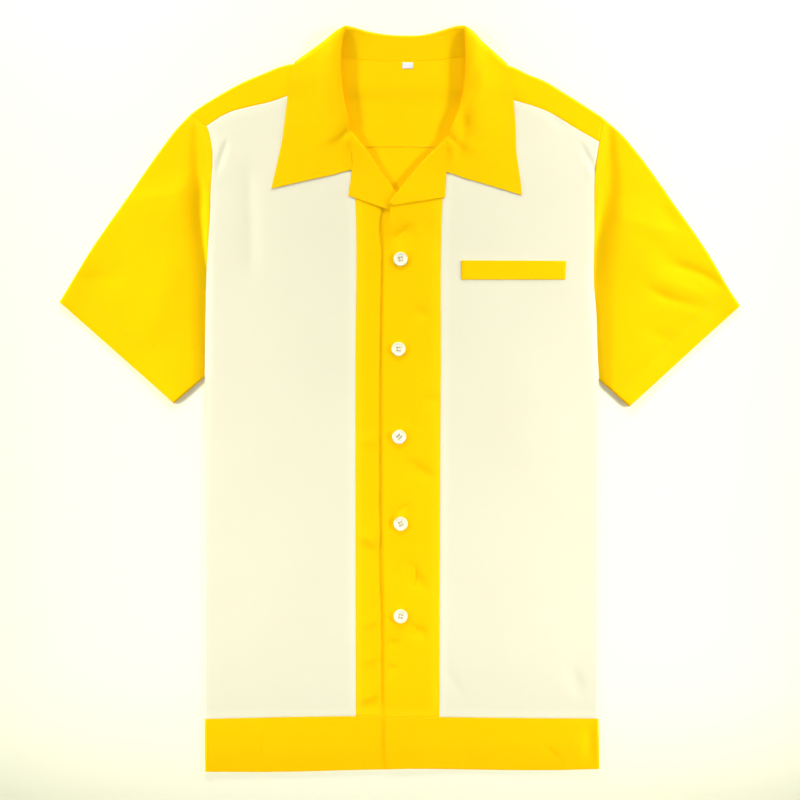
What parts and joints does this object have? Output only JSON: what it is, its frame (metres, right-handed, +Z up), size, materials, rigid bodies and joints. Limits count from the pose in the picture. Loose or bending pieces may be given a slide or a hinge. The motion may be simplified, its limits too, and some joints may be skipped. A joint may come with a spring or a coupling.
{
  "type": "bowling shirt",
  "caption": "Short-sleeved camp-collar shirt laid flat and buttoned, with two-colour vertical panels, a hem band and a chest welt.",
  "frame": {"origin": "middle of the laid-out shirt's plan, on the surface it lies on", "axes": "+X the wearer's left, +Y from the hem to the collar, +Z up from the surface, out of the shirt's front"},
  "size_m": [0.7212, 0.7903, 0.0186],
  "materials": {
    "yellow_poplin": "plain weave, matt",
    "cream_poplin": "plain weave, matt",
    "white_label": "satin ribbon, blank",
    "ivory_button": "polished"
  },
  "bodies": {
    "root": {"back_panel": "yellow_poplin", "back_hem_band": "yellow_poplin", "yoke": "yellow_poplin", "front_side_panel_right": "cream_poplin", "front_side_panel_left": "cream_poplin", "front_centre_panel_right": "yellow_poplin", "front_centre_panel_left": "yellow_poplin", "front_hem_band_right": "yellow_poplin", "front_hem_band_left": "yellow_poplin", "sleeve_right": "yellow_poplin", "sleeve_left": "yellow_poplin", "collar": "yellow_poplin", "chest_welt": "yellow_poplin", "neck_label": "white_label", "button_1": "ivory_button", "button_2": "ivory_button", "button_3": "ivory_button", "button_4": "ivory_button", "button_5": "ivory_button"}
  },
  "joints": []
}
